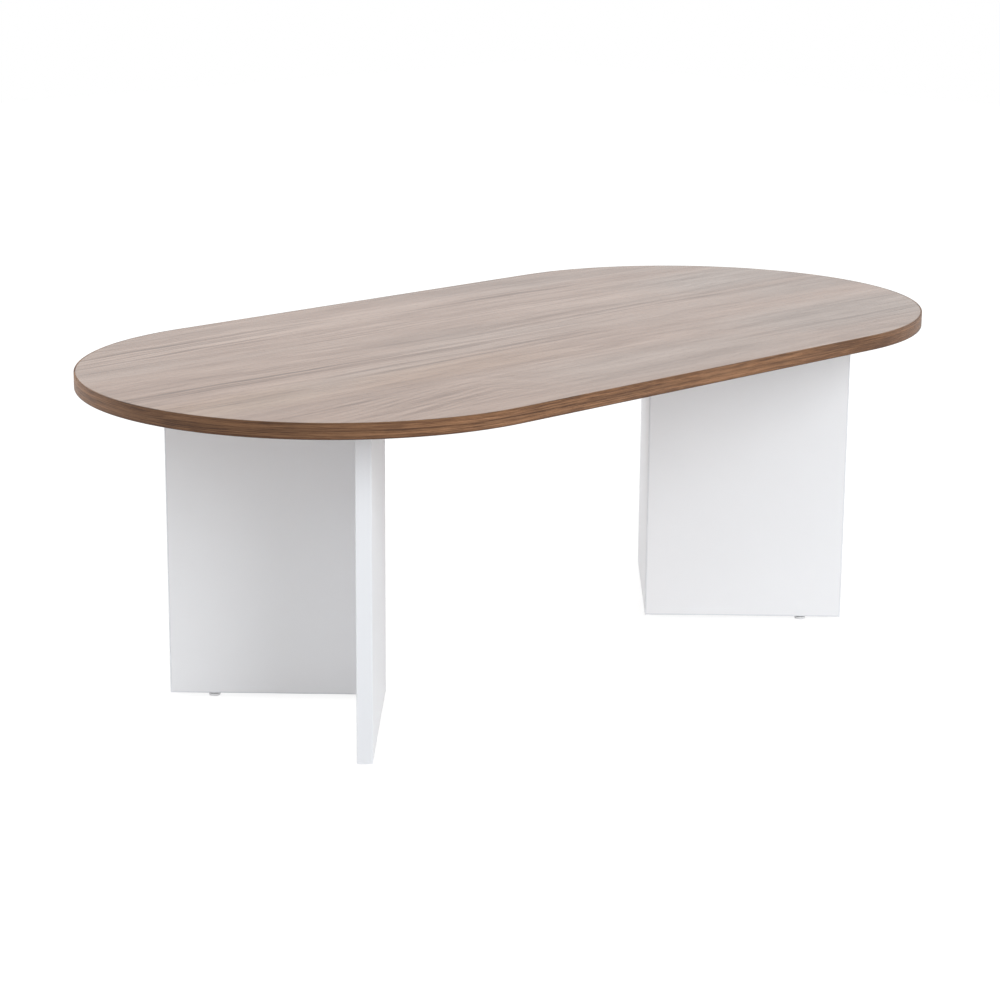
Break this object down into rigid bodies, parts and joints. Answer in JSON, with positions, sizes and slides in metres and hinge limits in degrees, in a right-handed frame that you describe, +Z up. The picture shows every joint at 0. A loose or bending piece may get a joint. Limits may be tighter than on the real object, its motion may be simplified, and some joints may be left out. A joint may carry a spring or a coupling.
{
  "type": "coffee table",
  "caption": "Low racetrack-shaped coffee table with a wood-effect top on arrowhead legs of white board with screw-in levelling feet.",
  "frame": {"origin": "on the floor under the middle of the top", "axes": "+X along the table, +Y across it, +Z up"},
  "size_m": [1.1998, 0.6, 0.413],
  "materials": {
    "walnut_face": "faced chipboard with a walnut grain, satin",
    "walnut_band": "plastic edge strip with a walnut grain, satin",
    "white_board": "faced chipboard, white, satin",
    "white_band": "white plastic edge strip, satin",
    "beech_dowel": "beech, plain",
    "zinc_cam": "zinc casting, dull",
    "steel_bolt": "zinc plated steel",
    "white_cap": "white plastic, satin",
    "zinc_insert": "zinc plated",
    "steel_stem": "zinc plated steel",
    "grey_pad": "grey nylon, satin"
  },
  "bodies": {
    "table": {"foot_insert_back_left": "zinc_insert", "foot_insert_back_right": "zinc_insert", "foot_insert_front_left": "zinc_insert", "foot_insert_front_right": "zinc_insert", "left_leg_butted_bottom_band": "white_band", "left_leg_butted_end_band": "white_band", "left_leg_butted_panel": "white_board", "left_leg_cam_caps": "white_cap", "left_leg_corner_band": "white_band", "left_leg_corner_bolts": "steel_bolt", "left_leg_corner_cams": "zinc_cam", "left_leg_corner_dowels": "beech_dowel", "left_leg_through_bottom_band": "white_band", "left_leg_through_end_band": "white_band", "left_leg_through_panel": "white_board", "left_leg_top_bolts": "steel_bolt", "left_leg_top_cams": "zinc_cam", "left_leg_top_dowels": "beech_dowel", "right_leg_butted_bottom_band": "white_band", "right_leg_butted_end_band": "white_band", "right_leg_butted_panel": "white_board", "right_leg_cam_caps": "white_cap", "right_leg_corner_band": "white_band", "right_leg_corner_bolts": "steel_bolt", "right_leg_corner_cams": "zinc_cam", "right_leg_corner_dowels": "beech_dowel", "right_leg_through_bottom_band": "white_band", "right_leg_through_end_band": "white_band", "right_leg_through_panel": "white_board", "right_leg_top_bolts": "steel_bolt", "right_leg_top_cams": "zinc_cam", "right_leg_top_dowels": "beech_dowel", "top_board": "walnut_face", "top_edge_band": "walnut_band"},
    "pad_front_right": {"foot_pad_front_right": "grey_pad"},
    "stem_front_right": {"foot_stem_front_right": "steel_stem"},
    "pad_back_right": {"foot_pad_back_right": "grey_pad"},
    "stem_back_right": {"foot_stem_back_right": "steel_stem"},
    "pad_back_left": {"foot_pad_back_left": "grey_pad"},
    "stem_back_left": {"foot_stem_back_left": "steel_stem"},
    "pad_front_left": {"foot_pad_front_left": "grey_pad"},
    "stem_front_left": {"foot_stem_front_left": "steel_stem"}
  },
  "joints": [
    {"name": "foot_travel_front_right", "type": "slide", "parent": "table", "child": "pad_front_right", "axis": [0, 0, -1], "range_m": [0, 0.01]},
    {"name": "foot_turn_front_right", "type": "hinge", "parent": "pad_front_right", "child": "stem_front_right", "pos_m": [0.38032, -0.13859, 0], "axis": [0, 0, -1], "range_deg": [0, 3600]},
    {"name": "foot_travel_back_right", "type": "slide", "parent": "table", "child": "pad_back_right", "axis": [0, 0, -1], "range_m": [0, 0.01]},
    {"name": "foot_turn_back_right", "type": "hinge", "parent": "pad_back_right", "child": "stem_back_right", "pos_m": [0.38032, 0.13859, 0], "axis": [0, 0, -1], "range_deg": [0, 3600]},
    {"name": "foot_travel_back_left", "type": "slide", "parent": "table", "child": "pad_back_left", "axis": [0, 0, -1], "range_m": [0, 0.01]},
    {"name": "foot_turn_back_left", "type": "hinge", "parent": "pad_back_left", "child": "stem_back_left", "pos_m": [-0.38032, 0.13859, 0], "axis": [0, 0, -1], "range_deg": [0, 3600]},
    {"name": "foot_travel_front_left", "type": "slide", "parent": "table", "child": "pad_front_left", "axis": [0, 0, -1], "range_m": [0, 0.01]},
    {"name": "foot_turn_front_left", "type": "hinge", "parent": "pad_front_left", "child": "stem_front_left", "pos_m": [-0.38032, -0.13859, 0], "axis": [0, 0, -1], "range_deg": [0, 3600]}
  ],
  "couplings": [
    {"joint": "foot_turn_front_right", "follows": "foot_travel_front_right", "rad_per_m": 6283.2},
    {"joint": "foot_turn_back_right", "follows": "foot_travel_back_right", "rad_per_m": 6283.2},
    {"joint": "foot_turn_back_left", "follows": "foot_travel_back_left", "rad_per_m": 6283.2},
    {"joint": "foot_turn_front_left", "follows": "foot_travel_front_left", "rad_per_m": 6283.2}
  ]
}
